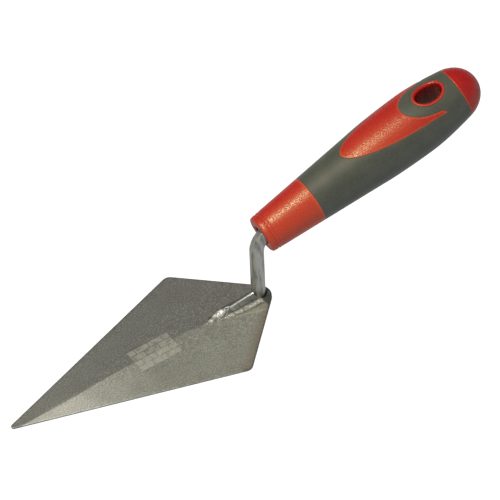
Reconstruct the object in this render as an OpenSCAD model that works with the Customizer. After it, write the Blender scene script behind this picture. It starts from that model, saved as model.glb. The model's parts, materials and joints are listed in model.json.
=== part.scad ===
// Pointing trowel: a kite-shaped steel blade, a bent steel tang welded on top of it,
// and a two-material handle with a hang hole.
// Millimetres. The origin is on the blade's underside, below the upright of the tang.
// +X points towards the handle's end, the blade's tip points towards -X, and +Z is up.

/* [Blade] */
// Length of the blade from tip to heel, before its corners are rounded
blade_length = 154; // [120:1:200]
// Width of the blade across its shoulders, before its corners are rounded
blade_width = 76.8; // [60:0.1:90]
// Distance from the heel corner forward to the shoulders
shoulder_setback = 38.3; // [30:0.1:50]
// Distance from the heel corner forward to the upright of the tang
heel_setback = 8.5; // [7:0.5:12]
// Thickness of the plate along its centre line
spine_thickness = 1.8; // [1.4:0.1:2.5]
// Thickness of the plate at the shoulders, after it is ground down from the centre line
edge_thickness = 1.0; // [0.6:0.1:1.3]
// Corner radius at the tip
tip_radius = 1.3; // [0.8:0.1:3]
// Corner radius at each shoulder
shoulder_radius = 4; // [2:0.5:8]
// Corner radius at the heel
heel_radius = 7.5; // [4:0.5:9]

/* [Tang] */
// Thickness of the tang's bar across its flats
bar_size = 6.4; // [5:0.1:8]
// Width of the bevel along each long edge of the bar
bar_bevel = 1.4; // [0.8:0.1:2]
// Height at which the tang's centre line would meet the handle's centre line
knee_height = 39.3; // [34:0.1:50]
// Bend radius of the bar's centre line where it turns into the handle
knee_radius = 12; // [8:0.5:12]
// Length of the foot that lies along the blade in front of the upright
foot_length = 29; // [20:1:40]
// Height of the foot's ridge above the blade, at the middle of the upright
foot_height = 3.6; // [2.5:0.1:4]
// Length of the straight part of the bar that is buried in the handle
buried_length = 78; // [50:1:84]

/* [Welds] */
// Width of each weld bead beside the foot
bead_width = 3.2; // [2:0.1:4]
// Width of the weld bead behind the upright
heel_bead_width = 1.6; // [1:0.1:2]
// Diameter of the weld puddle over the nose of the foot
puddle_size = 11; // [8:0.5:12]
// Height of the weld puddle above the blade
puddle_height = 3; // [2:0.1:3.5]

/* [Handle] */
// Upward tilt of the handle from the blade's plane
handle_tilt = 13; // [5:1:20]
// Distance from the knee to the front face of the collar
collar_start = 4.5; // [3:0.5:6]
// Length of the collar
collar_length = 29.8; // [20:0.1:34]
// Radius of the collar's front face
collar_front_radius = 9.7; // [9:0.1:11]
// Length of the whole handle
handle_length = 130.3; // [124:0.1:140]
// Largest radius of the handle, at the palm swell
swell_radius = 16.1; // [14:0.1:18]
// Length of the bare end of the core behind the grip
cap_length = 12.4; // [9:0.1:13]
// Radius of the handle where the grip meets the bare end
cap_radius = 13.3; // [12:0.1:14]
// Wall thickness of the soft grip
grip_wall = 2.5; // [2:0.1:3]

/* [Window and hang hole] */
// Distance from the collar's front face to the middle of the hang hole
hole_distance = 104.6; // [100:0.1:108]
// Length of the hang hole along the handle
hole_length = 14.4; // [12:0.2:16]
// Width of the hang hole across the handle
hole_width = 10.2; // [8:0.2:11]
// Wall of the red ring round the hang hole
ring_wall = 1.8; // [1.5:0.1:2.4]
// Half the width of the window in the grip
window_half_width = 12.8; // [10:0.1:13.5]
// Length of the window in front of its widest place
window_reach = 47.8; // [35:0.1:50]
// Width of the band of grip that wraps round the front of the ring
tongue_reach = 7.4; // [4:0.1:8]
// Turn of the hang hole about the handle's axis, towards the right side
hole_roll = 6.5; // [0:0.5:10]
// Turn of the window about the handle's axis, towards the right side
window_roll = 1.5; // [0:0.5:10]

/* [Hidden] */
$fn = 72;
skin = 0.01;
far = 200;

heel_x = heel_setback;
tip_x = heel_x - blade_length;
shoulder_x = heel_x - shoulder_setback;
grind_angle = atan((spine_thickness - edge_thickness) / (blade_width / 2));

bend_angle = 90 - handle_tilt;
bend_tangent = knee_radius * tan(bend_angle / 2);
foot_side_height = foot_height * 0.4;
foot_nose_height = 0.5;
foot_slope = atan((foot_height - foot_nose_height) / foot_length);
puddle_inset = 4;
bead_height = foot_side_height + 0.2;
bead_length = foot_length + bar_size / 2 - puddle_inset - puddle_size / 2;
socket_length = buried_length + 1;
mouth_gap = 1.1;
mouth_depth = 3.5;

front = 0;
collar_end = collar_length;
cap_start = handle_length - cap_length;
// The palm swell: where it starts, peaks and fades, and how far below its peak its two ends lie
swell_start = cap_start - 45.6;
swell_peak = cap_start - 25.6;
swell_fade = cap_start - 10.6;
swell_start_drop = 0.45;
swell_fade_drop = 1.15;
// The window is widest in front of the hang hole's middle, and its horns end behind it
window_back = 4.5;
horn_reach = 3;

// Outer outline of the handle as [distance from the front face, radius]
handle_outline = [
    [front, collar_front_radius],
    [swell_start, swell_radius - swell_start_drop],
    [swell_peak, swell_radius],
    [swell_fade, swell_radius - swell_fade_drop],
    [cap_start, cap_radius],
];
groove_start = 3.4;
groove_width = 0.7;
groove_depth = 0.35;
front_edge = 0.9;

function outer_radius(along) = lookup(along, handle_outline);

// Points of an arc from one angle to another about a centre
function arc_points(centre, radius, from, to, steps) = [
    for (i = [0 : steps]) let (a = from + (to - from) * i / steps)
        [centre[0] + radius * cos(a), centre[1] + radius * sin(a)]
];

// Rounded version of one corner, with its neighbours before and after it in anticlockwise order
function round_corner(before, corner, after, radius, steps) =
    let (
        to_before = (before - corner) / norm(before - corner),
        to_after = (after - corner) / norm(after - corner),
        half = acos(to_before * to_after) / 2,
        middle = (to_before + to_after) / norm(to_before + to_after),
        centre = corner + middle * radius / sin(half),
        away = atan2(-middle[1], -middle[0]),
        sweep = 90 - half
    )
    arc_points(centre, radius, away - sweep, away + sweep, steps);

// Points of an ellipse from one angle to another
function ellipse_points(centre, half_x, half_y, from, to, steps) = [
    for (i = [0 : steps]) let (a = from + (to - from) * i / steps)
        [centre[0] + half_x * cos(a), centre[1] + half_y * sin(a)]
];

module kite_outline() {
    heel = [heel_x, 0];
    left = [shoulder_x, blade_width / 2];
    tip = [tip_x, 0];
    right = [shoulder_x, -blade_width / 2];
    polygon(concat(
        round_corner(right, heel, left, heel_radius, 16),
        round_corner(heel, left, tip, shoulder_radius, 8),
        round_corner(left, tip, right, tip_radius, 8),
        round_corner(tip, right, heel, shoulder_radius, 8)
    ));
}

// Space above the blade's ground faces, which slope down from the centre line to both sides
module above_blade() {
    for (side = [0, 1])
        mirror([0, side, 0])
            translate([0, 0, spine_thickness])
                rotate([-grind_angle, 0, 0])
                    translate([-far, -skin, 0])
                        cube([2 * far, far, far / 4]);
}

module blade() {
    color("dimgray")
        difference() {
            linear_extrude(spine_thickness) kite_outline();
            above_blade();
        }
}

// Bar section: a square with bevelled corners
module bar_section() {
    half = bar_size / 2;
    inner = half - bar_bevel;
    polygon([
        [half, -inner], [half, inner], [inner, half], [-inner, half],
        [-half, inner], [-half, -inner], [-inner, -half], [inner, -half]
    ]);
}

// Places its children on the handle's axis, with +Z running from the front face to the end
module on_handle_axis() {
    translate([0, 0, knee_height])
        rotate([0, 90 - handle_tilt, 0])
            translate([0, 0, collar_start])
                children();
}

module upright() {
    translate([0, 0, spine_thickness])
        linear_extrude(knee_height - bend_tangent - spine_thickness + skin) bar_section();
}

module knee() {
    translate([knee_radius, 0, knee_height - bend_tangent])
        rotate([90, 0, 0])
            rotate([0, 0, 90 + handle_tilt])
                rotate_extrude(angle = bend_angle) translate([knee_radius, 0]) bar_section();
}

// The bar's straight end inside the handle, from the end of the bend to its given depth
module buried_bar(depth) {
    start = bend_tangent - collar_start - skin;
    on_handle_axis()
        translate([0, 0, start])
            linear_extrude(depth - start) bar_section();
}

// Foot: a ridged bar along the blade's centre line that slopes down to its nose
module foot() {
    half = bar_size / 2;
    difference() {
        translate([-foot_length, 0, spine_thickness])
            rotate([90, 0, 90])
                linear_extrude(foot_length + half)
                    polygon([
                        [-half, 0], [half, 0], [half, foot_side_height],
                        [0, foot_height], [-half, foot_side_height]
                    ]);
        translate([-foot_length, -far / 2, spine_thickness + foot_nose_height])
            rotate([0, -foot_slope, 0])
                translate([-far / 4, 0, 0])
                    cube([far / 2, far, far / 4]);
    }
}

module tang() {
    color("lightslategray") {
        upright();
        knee();
        buried_bar(buried_length);
        foot();
    }
}

// Convex fillet of weld metal that fills the corner between the blade and a wall at x = 0
module bead_section(width) {
    polygon(concat([[0, 0]], ellipse_points([0, 0], width, bead_height, 0, 90, 8)));
}

module weld_bead(side) {
    color("tan")
        translate([bar_size / 2, 0, spine_thickness])
            rotate([90, 0, -90])
                linear_extrude(bead_length)
                    translate([-side * bar_size / 2, 0])
                        scale([-side, 1])
                            bead_section(bead_width);
}

module weld_left() { weld_bead(1); }

module weld_right() { weld_bead(-1); }

module weld_heel() {
    color("tan")
        translate([bar_size / 2, bar_size / 2, spine_thickness])
            rotate([90, 0, 0])
                linear_extrude(bar_size) bead_section(heel_bead_width);
}

module weld_toe() {
    color("silver")
        difference() {
            translate([puddle_inset - foot_length, 0, spine_thickness])
                rotate_extrude() bead_profile();
            foot();
        }
}

module bead_profile() {
    polygon(concat(
        [[0, 0]], ellipse_points([0, 0], puddle_size / 2, puddle_height, 0, 90, 8)
    ));
}

// Whole outer body of the handle, which the core and the grip share
module outer_body(shrink = 0) {
    dome = ellipse_points([0, cap_start], cap_radius - shrink, cap_length - shrink, 0, 90, 12);
    body = [
        for (p = handle_outline) if (p[0] > front && p[0] < cap_start) [p[1] - shrink, p[0]]
    ];
    groove_end = groove_start + groove_width;
    rotate_extrude()
        polygon(concat(
            [[0, front], [collar_front_radius - front_edge - shrink, front]],
            arc_points(
                [collar_front_radius - front_edge - shrink, front + front_edge],
                front_edge, -60, 0, 3
            ),
            [
                [outer_radius(groove_start) - shrink, groove_start],
                [outer_radius(groove_start) - groove_depth - shrink, groove_start + skin],
                [outer_radius(groove_end) - groove_depth - shrink, groove_end - skin],
                [outer_radius(groove_end) - shrink, groove_end],
                [outer_radius(collar_end) - shrink, collar_end]
            ],
            body,
            dome
        ));
}

// Space round the handle between the collar and the bare end, outside the core's neck
module grip_space() {
    difference() {
        translate([0, 0, collar_end]) cylinder(r = far / 4, h = cap_start - collar_end);
        outer_body(grip_wall);
    }
}

// Oval prism through the handle along the direction of the hang hole
module oval_prism(length, width, height) {
    straight = (length - width) / 2;
    rotate([0, 0, hole_roll])
        translate([-height / 2, 0, hole_distance])
            rotate([0, 90, 0]) {
                translate([-straight, 0, 0]) cylinder(d = width, h = height);
                translate([straight, 0, 0]) cylinder(d = width, h = height);
                translate([-straight, -width / 2, 0]) cube([2 * straight, width, height]);
            }
}

module ring_prism() {
    oval_prism(hole_length + 2 * ring_wall, hole_width + 2 * ring_wall, far / 2);
}

// Upper half space cut to the window's outline: a half ellipse that ends in two horns
module window_prism() {
    widest = hole_distance - window_back;
    horn_end = hole_distance + horn_reach;
    tongue_length = hole_length / 2 + ring_wall + tongue_reach;
    tongue_width = hole_width / 2 + ring_wall + tongue_reach / 2;
    difference() {
        rotate([0, -90, window_roll])
            linear_extrude(far / 4)
                polygon(concat(
                    ellipse_points([widest, 0], window_reach, window_half_width, 90, 270, 32),
                    [[horn_end, -window_half_width], [horn_end, window_half_width]]
                ));
        rotate([0, -90, hole_roll])
            linear_extrude(far / 2)
                polygon(concat(
                    ellipse_points([hole_distance, 0], tongue_length, tongue_width, 90, 270, 20),
                    [[far, -tongue_width], [far, tongue_width]]
                ));
    }
}

// Parts of the grip's space that belong to the core
module core_shows() {
    window_prism();
    ring_prism();
}

module socket() {
    on_handle_axis() {
        translate([0, 0, -1]) cylinder(r = bar_size / 2 + mouth_gap, h = mouth_depth + 1);
        linear_extrude(socket_length) bar_section();
    }
}

module handle_core() {
    color("firebrick")
        difference() {
            on_handle_axis()
                difference() {
                    outer_body();
                    difference() {
                        grip_space();
                        core_shows();
                    }
                    oval_prism(hole_length, hole_width, far / 2);
                }
            socket();
            knee();
        }
}

module soft_grip() {
    color("darkslategray")
        on_handle_axis()
            difference() {
                intersection() {
                    outer_body();
                    grip_space();
                }
                core_shows();
            }
}

blade();
tang();
weld_toe();
weld_left();
weld_right();
weld_heel();
handle_core();
soft_grip();
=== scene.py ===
import json
import math

import bmesh
import bpy
import numpy as np
from mathutils import Matrix, Vector, noise
from mathutils.geometry import delaunay_2d_cdt


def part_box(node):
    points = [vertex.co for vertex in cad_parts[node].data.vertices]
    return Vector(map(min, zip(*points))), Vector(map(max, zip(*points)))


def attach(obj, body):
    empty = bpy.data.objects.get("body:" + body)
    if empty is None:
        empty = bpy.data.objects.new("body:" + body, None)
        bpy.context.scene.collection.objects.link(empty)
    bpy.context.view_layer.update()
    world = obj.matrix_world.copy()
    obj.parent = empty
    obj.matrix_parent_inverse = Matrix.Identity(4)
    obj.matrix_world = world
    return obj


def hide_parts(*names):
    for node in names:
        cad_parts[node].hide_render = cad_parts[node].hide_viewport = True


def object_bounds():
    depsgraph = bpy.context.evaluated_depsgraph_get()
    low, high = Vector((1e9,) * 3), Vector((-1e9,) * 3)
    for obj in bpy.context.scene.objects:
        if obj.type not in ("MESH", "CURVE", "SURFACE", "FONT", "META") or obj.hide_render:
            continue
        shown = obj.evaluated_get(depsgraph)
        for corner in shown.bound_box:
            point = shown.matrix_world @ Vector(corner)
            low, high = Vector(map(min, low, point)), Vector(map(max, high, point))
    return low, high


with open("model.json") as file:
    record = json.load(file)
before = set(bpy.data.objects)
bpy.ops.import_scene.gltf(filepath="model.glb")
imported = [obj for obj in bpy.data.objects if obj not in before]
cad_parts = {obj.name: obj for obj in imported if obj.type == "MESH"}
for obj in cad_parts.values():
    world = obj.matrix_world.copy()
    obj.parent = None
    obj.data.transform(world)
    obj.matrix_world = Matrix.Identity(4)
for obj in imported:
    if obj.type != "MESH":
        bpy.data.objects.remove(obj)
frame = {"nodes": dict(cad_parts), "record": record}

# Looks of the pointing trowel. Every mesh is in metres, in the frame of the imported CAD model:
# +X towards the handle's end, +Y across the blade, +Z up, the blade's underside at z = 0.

MM = 0.001
CAD_BOX = [list(corner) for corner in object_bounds()]

# ------------------------ places, from the frame

MOUNTS = {mount["name"]: mount for mount in frame["record"]["mounts"]}
HOLE_CENTRE = np.array(MOUNTS["hang_hole"]["pos_m"])
HOLE_AXIS = np.array(MOUNTS["hang_hole"]["axis"])
HOLE_AXIS = HOLE_AXIS / np.linalg.norm(HOLE_AXIS)
HANDLE_AXIS = np.array([HOLE_AXIS[2], 0, -HOLE_AXIS[0]])
HANDLE_AXIS = HANDLE_AXIS / np.linalg.norm(HANDLE_AXIS)
HANDLE_SIDE = np.cross(HOLE_AXIS, HANDLE_AXIS)
ACROSS = np.array([0, 1, 0])


def handle_measures(node):
    """Distance along the handle's axis and away from it, for each corner of a CAD node."""
    corners = np.array([vertex.co for vertex in frame["nodes"][node].data.vertices])
    offset = corners - HOLE_CENTRE
    along = offset @ HANDLE_AXIS
    away = np.linalg.norm(offset - np.outer(along, HANDLE_AXIS), axis=1)
    return along, away


END_BAND = 0.01 * MM
core_along = handle_measures("handle_core")[0]
grip_along, grip_away = handle_measures("soft_grip")
FRONT_CENTRE = HOLE_CENTRE + HANDLE_AXIS * core_along.min()
HOLE_ALONG = -core_along.min()
HANDLE_LENGTH = core_along.max() - core_along.min()
COLLAR_END = grip_along.min() - core_along.min()
CAP_START = grip_along.max() - core_along.min()
COLLAR_END_RADIUS = grip_away[grip_along < grip_along.min() + END_BAND].max()
SWELL_RADIUS = grip_away.max()
CAP_RADIUS = grip_away[grip_along > grip_along.max() - END_BAND].max()

BLADE_LOW, BLADE_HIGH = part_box("blade")
SPINE_TOP = BLADE_HIGH.z
TANG_LOW, TANG_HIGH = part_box("tang")
TOE_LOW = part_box("weld_toe")[0]


# ------------------------ mesh helpers


def placed(name, data):
    """A new object in the scene."""
    made = bpy.data.objects.new(name, data)
    bpy.context.scene.collection.objects.link(made)
    return made


def make_piece(name, points, faces, material, nodes, sharp_angle=40):
    """A mesh piece that stands for CAD nodes. Faces that share a place are joined."""
    mesh = bpy.data.meshes.new(name)
    mesh.from_pydata([tuple(point) for point in points], [], faces)
    builder = bmesh.new()
    builder.from_mesh(mesh)
    bmesh.ops.remove_doubles(builder, verts=builder.verts, dist=0.002 * MM)
    bmesh.ops.dissolve_degenerate(builder, edges=builder.edges, dist=0.001 * MM)
    bmesh.ops.recalc_face_normals(builder, faces=builder.faces)
    builder.to_mesh(mesh)
    builder.free()
    mesh.shade_smooth()
    mesh.set_sharp_from_angle(angle=math.radians(sharp_angle))
    mesh.materials.append(material)
    piece = placed(name, mesh)
    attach(piece, "root")
    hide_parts(*nodes)
    return piece


class Shell:
    """Collects points and faces of one mesh."""

    def __init__(self):
        self.points = []
        self.faces = []

    def add(self, points, faces):
        base = len(self.points)
        self.points += [tuple(point) for point in points]
        self.faces += [tuple(base + corner for corner in face) for face in faces]

    def add_strip(self, first, second, closed=True):
        """Quads between two rows of points of the same length."""
        count = len(first)
        last = count if closed else count - 1
        faces = [
            (i, (i + 1) % count, count + (i + 1) % count, count + i) for i in range(last)
        ]
        self.add(list(first) + list(second), faces)

    def add_rows(self, rows, closed=True):
        for first, second in zip(rows[:-1], rows[1:]):
            self.add_strip(first, second, closed)

    def add_fan(self, ring, centre):
        count = len(ring)
        self.add(list(ring) + [centre], [(i, (i + 1) % count, count) for i in range(count)])


def distance_to_loops(points, loops):
    """Shortest distance from each flat point to any edge of some closed loops."""
    best = np.full(len(points), np.inf)
    for loop in loops:
        start = np.asarray(loop)
        step = np.roll(start, -1, axis=0) - start
        length = (step ** 2).sum(1)
        for i in range(len(start)):
            if length[i] == 0:
                continue
            offset = points - start[i]
            share = np.clip((offset @ step[i]) / length[i], 0, 1)
            gap = offset - share[:, None] * step[i]
            best = np.minimum(best, np.sqrt((gap ** 2).sum(1)))
    return best


def is_inside(points, loop):
    """True for each flat point inside a closed loop."""
    loop = np.asarray(loop)
    ahead = np.roll(loop, -1, axis=0)
    inside = np.zeros(len(points), bool)
    for (x0, y0), (x1, y1) in zip(loop, ahead):
        if y0 == y1:
            continue
        crosses = (y0 > points[:, 1]) != (y1 > points[:, 1])
        cut = x0 + (points[:, 1] - y0) * (x1 - x0) / (y1 - y0)
        inside ^= crosses & (points[:, 0] < cut)
    return inside


def triangulate(loops, lines, scattered, keep):
    """Flat points and triangles: loops and open lines stay as edges, keep picks the triangles."""
    points = []
    edges = []
    for row, closed in [(loop, True) for loop in loops] + [(line, False) for line in lines]:
        base = len(points)
        points += [Vector(point) for point in row]
        last = len(row) if closed else len(row) - 1
        edges += [(base + i, base + (i + 1) % len(row)) for i in range(last)]
    points += [Vector(point) for point in scattered]
    flat, _, faces, _, _, _ = delaunay_2d_cdt(points, edges, [], 0, 1e-9)
    flat = np.array([tuple(point) for point in flat])
    middles = np.array([flat[list(face)].mean(0) for face in faces])
    kept = keep(middles)
    return flat, [face for face, wanted in zip(faces, kept) if wanted]


def resample(loop, spacing):
    """The same closed loop with even spacing."""
    loop = np.asarray(loop)
    closed = np.vstack([loop, loop[:1]])
    walked = np.concatenate([[0], np.cumsum(np.linalg.norm(np.diff(closed, axis=0), axis=1))])
    count = int(round(walked[-1] / spacing))
    wanted = np.arange(count) * walked[-1] / count
    return np.stack([np.interp(wanted, walked, closed[:, k]) for k in (0, 1)], axis=1)


def offset_loop(loop, distance):
    """An anticlockwise loop moved outwards by a distance."""
    loop = np.asarray(loop)
    run = np.roll(loop, -1, axis=0) - np.roll(loop, 1, axis=0)
    run = run / np.linalg.norm(run, axis=1)[:, None]
    return loop + distance * np.stack([run[:, 1], -run[:, 0]], axis=1)


def oval(half_x, half_y, power, count):
    """Points of a superellipse, anticlockwise."""
    angles = np.linspace(0, 2 * math.pi, count, endpoint=False)
    bend = 2 / power
    x = half_x * np.sign(np.cos(angles)) * np.abs(np.cos(angles)) ** bend
    y = half_y * np.sign(np.sin(angles)) * np.abs(np.sin(angles)) ** bend
    return np.stack([x, y], axis=1)


def ease(value):
    value = np.clip(value, 0, 1)
    return value * value * (3 - 2 * value)


# ------------------------ material helpers


class Material:
    """A node material round one Principled shader."""

    def __init__(self, name, metallic, roughness):
        self.material = bpy.data.materials.new(name)
        self.material.use_nodes = True
        self.tree = self.material.node_tree
        self.shader = self.tree.nodes["Principled BSDF"]
        self.shader.inputs["Metallic"].default_value = metallic
        self.shader.inputs["Roughness"].default_value = roughness
        self.place = self.node("ShaderNodeTexCoord").outputs["Object"]

    def node(self, kind, **settings):
        made = self.tree.nodes.new(kind)
        for key, value in settings.items():
            setattr(made, key, value)
        return made

    def feed(self, socket, value):
        """Links an output into a socket, or sets the socket to a plain value."""
        if isinstance(value, bpy.types.NodeSocket):
            self.tree.links.new(value, socket)
        else:
            socket.default_value = value

    def stretched(self, scale, turn=0.0, start=(0, 0, 0)):
        """Object coordinates moved, turned about Z and scaled."""
        turned = self.node("ShaderNodeMapping", vector_type="TEXTURE")
        self.feed(turned.inputs["Vector"], self.place)
        turned.inputs["Location"].default_value = start
        turned.inputs["Rotation"].default_value = (0, 0, turn)
        sized = self.node("ShaderNodeMapping", vector_type="POINT")
        self.feed(sized.inputs["Vector"], turned.outputs[0])
        sized.inputs["Scale"].default_value = scale
        return sized.outputs[0]

    def noise(self, size, detail=3.0, rough=0.55, vector=None):
        """Noise whose lumps are about size metres across, from 0 to 1."""
        made = self.node("ShaderNodeTexNoise")
        self.feed(made.inputs["Vector"], self.place if vector is None else vector)
        made.inputs["Scale"].default_value = 1 / size if vector is None else 1.0
        made.inputs["Detail"].default_value = detail
        made.inputs["Roughness"].default_value = rough
        return made.outputs["Fac"]

    def math(self, operation, first, second=0.0):
        made = self.node("ShaderNodeMath", operation=operation)
        for socket, value in zip(made.inputs, (first, second)):
            self.feed(socket, value)
        return made.outputs[0]

    def remap(self, value, low, high, to_low=0.0, to_high=1.0):
        made = self.node("ShaderNodeMapRange", interpolation_type="SMOOTHSTEP")
        for key, number in (
            ("Value", value), ("From Min", low), ("From Max", high),
            ("To Min", to_low), ("To Max", to_high),
        ):
            self.feed(made.inputs[key], number)
        return made.outputs[0]

    def mix(self, share, first, second):
        """Colour mix: first where share is 0, second where it is 1."""
        made = self.node("ShaderNodeMix", data_type="RGBA")
        self.feed(made.inputs[0], share)
        for socket, colour in ((made.inputs[6], first), (made.inputs[7], second)):
            self.feed(socket, (*colour, 1.0) if isinstance(colour, tuple) else colour)
        return made.outputs[2]

    def colour(self, value):
        self.feed(
            self.shader.inputs["Base Color"],
            (*value, 1.0) if isinstance(value, tuple) else value,
        )

    def roughness(self, value):
        self.feed(self.shader.inputs["Roughness"], value)

    def bump(self, height, depth, strength=1.0):
        """Adds a bump of the given depth in metres on top of the ones before."""
        made = self.node("ShaderNodeBump")
        made.inputs["Strength"].default_value = strength
        made.inputs["Distance"].default_value = depth
        self.feed(made.inputs["Height"], height)
        before = self.shader.inputs["Normal"]
        if before.is_linked:
            self.feed(made.inputs["Normal"], before.links[0].from_socket)
        self.feed(before, made.outputs[0])

    def axis(self, which):
        split = self.node("ShaderNodeSeparateXYZ")
        self.feed(split.inputs[0], self.place)
        return split.outputs[which]


def attribute(material, name):
    made = material.node("ShaderNodeAttribute", attribute_type="GEOMETRY")
    made.attribute_name = name
    return made.outputs["Fac"]


# ------------------------ materials

# The line between the ground halves, in mm: off centre at the tip, with a wave near the foot
RIDGE_POINTS = [(-142, -2.5), (-110, -2), (-85, -1), (-65, -1), (-42, 1), (-35, -0.8), (-25, 0), (6, 0)]
MARK_CENTRE = (-61.5 * MM, -0.8 * MM)
MARK_SIZE = (23 * MM, 15 * MM)
BRICK_COURSES = 4
BRICK_LENGTH = MARK_SIZE[0] / 3
MORTAR = 0.3 * MM
# painted reflection: the blade is painted lighter from x = -60 mm towards the tip, fully from -135 mm
TIP_GLARE_SPAN = (-135 * MM, -60 * MM)

# Painted light: the blade's far half is painted darker as if shaded, its near half lighter as if lit
BLADE_SHADED_HALF = (0.222, 0.238, 0.254)
BLADE_LIT_HALF = (0.350, 0.378, 0.368)
TIP_GLARE = (0.860, 0.880, 0.890)
HEEL_BLACK = (0.044, 0.055, 0.064)
RUST_TINT = (0.190, 0.150, 0.120)
MARK_LIGHT = (0.500, 0.510, 0.480)
EDGE_SHADE = (0.085, 0.085, 0.080)
FAN_LIGHT = (0.290, 0.290, 0.250)
PALE_LINE = (0.480, 0.470, 0.420)
FOOT_DARK = (0.130, 0.145, 0.140)
PIT_DARK = (0.070, 0.072, 0.065)
MOTTLE_DARK = (0.15, 0.14, 0.12)
GRAIN_DARK = (0.10, 0.10, 0.10)
GRAIN_LIGHT = (0.54, 0.55, 0.53)
STREAK_LIGHT = (0.36, 0.36, 0.32)
DOT_LIGHT = (0.45, 0.45, 0.42)
BAR_DARK = (0.26, 0.27, 0.26)
BAR_LIGHT = (0.51, 0.52, 0.50)
BAR_RIDGE_HIGHLIGHT = (0.68, 0.72, 0.74)
BAR_SPECK = (0.20, 0.20, 0.19)
WELD_TAN = ((0.17, 0.175, 0.165), (0.34, 0.345, 0.33))
WELD_PALE = ((0.17, 0.18, 0.18), (0.70, 0.73, 0.76))
WELD_DULL = ((0.12, 0.125, 0.12), (0.18, 0.185, 0.175))
RED_DEEP = (0.305, 0.003, 0.006)
RED_BRIGHT = (0.350, 0.004, 0.008)
RED_SHEEN = (0.400, 0.032, 0.014)
RED_EDGE_HIGHLIGHT = (0.58, 0.12, 0.05)
RED_SHADE = (0.24, 0.006, 0.006)
RED_GLOSS = (0.62, 0.92, 0.66, 1.0)
RUBBER_DARK = (0.038, 0.045, 0.038)
RUBBER_LIGHT = (0.050, 0.057, 0.048)
RUBBER_DUST = (0.12, 0.125, 0.11)


def etched_panel(steel):
    """1 on the frosted bricks of the plain panel that is etched on the blade, else 0."""
    spot = steel.stretched((1, 1, 0), 0.0, (*MARK_CENTRE, 0))
    bricks = steel.node("ShaderNodeTexBrick", offset=0.5)
    steel.feed(bricks.inputs["Vector"], spot)
    bricks.inputs["Scale"].default_value = 1.0
    bricks.inputs["Brick Width"].default_value = BRICK_LENGTH
    bricks.inputs["Row Height"].default_value = MARK_SIZE[1] / BRICK_COURSES
    bricks.inputs["Mortar Size"].default_value = MORTAR
    bricks.inputs["Mortar Smooth"].default_value = 0.4
    split = steel.node("ShaderNodeSeparateXYZ")
    steel.feed(split.inputs[0], spot)
    inside = steel.remap(steel.axis(2), 0.3 * MM, 0.6 * MM)
    for side in (0, 1):
        reach = steel.math("ABSOLUTE", split.outputs[side])
        half = MARK_SIZE[side] / 2
        inside = steel.math(
            "MULTIPLY", inside, steel.remap(reach, half - 0.3 * MM, half + 0.1 * MM, 1.0, 0.0)
        )
    brick = steel.math("SUBTRACT", 1.0, bricks.outputs["Fac"])
    worn = steel.remap(steel.noise(2.5 * MM, 3.0, 0.6), 0.3, 0.6, 0.25, 0.6)
    return steel.math("MULTIPLY", steel.math("MULTIPLY", inside, brick), worn)


def blade_material():
    steel = Material("ground_steel", 0.75, 0.5)
    # painted light: the far half is painted darker and the near half lighter, standing in for how the
    # key light falls on the two ground faces
    half = attribute(steel, "lit_near_half")
    # painted reflection: towards the tip both halves are painted lighter, the near half almost white
    tip = steel.remap(steel.axis(0), *TIP_GLARE_SPAN, 1.0, 0.0)
    light = steel.mix(steel.math("MULTIPLY", tip, 0.9), BLADE_LIT_HALF, TIP_GLARE)
    dark = steel.mix(steel.math("MULTIPLY", tip, 0.45), BLADE_SHADED_HALF, BLADE_LIT_HALF)
    colour = steel.mix(half, dark, light)
    mottle = steel.noise(14 * MM, 4.0, 0.6)
    colour = steel.mix(steel.remap(mottle, 0.3, 0.75, 0.0, 0.25), colour, MOTTLE_DARK)
    grain = steel.noise(0.62 * MM, 3.0, 0.75)
    colour = steel.mix(steel.remap(grain, 0.42, 0.62, 0.48, 0.0), colour, GRAIN_DARK)
    colour = steel.mix(steel.remap(grain, 0.50, 0.70, 0.0, 0.34), colour, GRAIN_LIGHT)
    streak = steel.noise(1, 3.0, 0.6, steel.stretched((60, 900, 60), 0.28))
    colour = steel.mix(steel.remap(streak, 0.5, 0.8, 0.0, 0.22), colour, STREAK_LIGHT)
    dots = steel.noise(1.1 * MM, 2.0, 0.5)
    colour = steel.mix(steel.remap(dots, 0.70, 0.80, 0.0, 0.5), colour, DOT_LIGHT)
    colour = steel.mix(attribute(steel, "rust"), colour, RUST_TINT)
    colour = steel.mix(steel.math("MULTIPLY", attribute(steel, "fan"), 0.5), colour, FAN_LIGHT)
    colour = steel.mix(steel.math("MULTIPLY", attribute(steel, "pale"), 0.6), colour, PALE_LINE)
    colour = steel.mix(etched_panel(steel), colour, MARK_LIGHT)
    colour = steel.mix(attribute(steel, "heel"), colour, HEEL_BLACK)
    # painted shade: a dark band along the far edges and the near rear edge
    colour = steel.mix(attribute(steel, "edge_shade"), colour, EDGE_SHADE)
    steel.colour(colour)
    steel.roughness(steel.remap(grain, 0.2, 0.8, 0.42, 0.62))
    steel.bump(grain, 0.02 * MM, 0.6)
    steel.bump(streak, 0.02 * MM, 0.5)
    return steel.material


def tang_material():
    steel = Material("forged_steel", 0.9, 0.32)
    patches = steel.noise(1, 3.0, 0.6, steel.stretched((420, 420, 70)))
    colour = steel.mix(steel.remap(patches, 0.34, 0.58), BAR_DARK, BAR_LIGHT)
    # the foot is painted darker, except along its ridge
    colour = steel.mix(steel.math("MULTIPLY", attribute(steel, "scale"), 0.85), colour, FOOT_DARK)
    # painted highlight: a pale line along the foot's ridge
    colour = steel.mix(attribute(steel, "ridge"), colour, BAR_RIDGE_HIGHLIGHT)
    fine = steel.noise(0.8 * MM, 3.0, 0.6)
    colour = steel.mix(steel.remap(fine, 0.5, 0.8, 0.0, 0.5), colour, BAR_SPECK)
    steel.colour(colour)
    steel.roughness(steel.remap(patches, 0.3, 0.7, 0.26, 0.42))
    steel.bump(patches, 0.25 * MM, 0.35)
    steel.bump(fine, 0.05 * MM, 0.5)
    return steel.material


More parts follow.
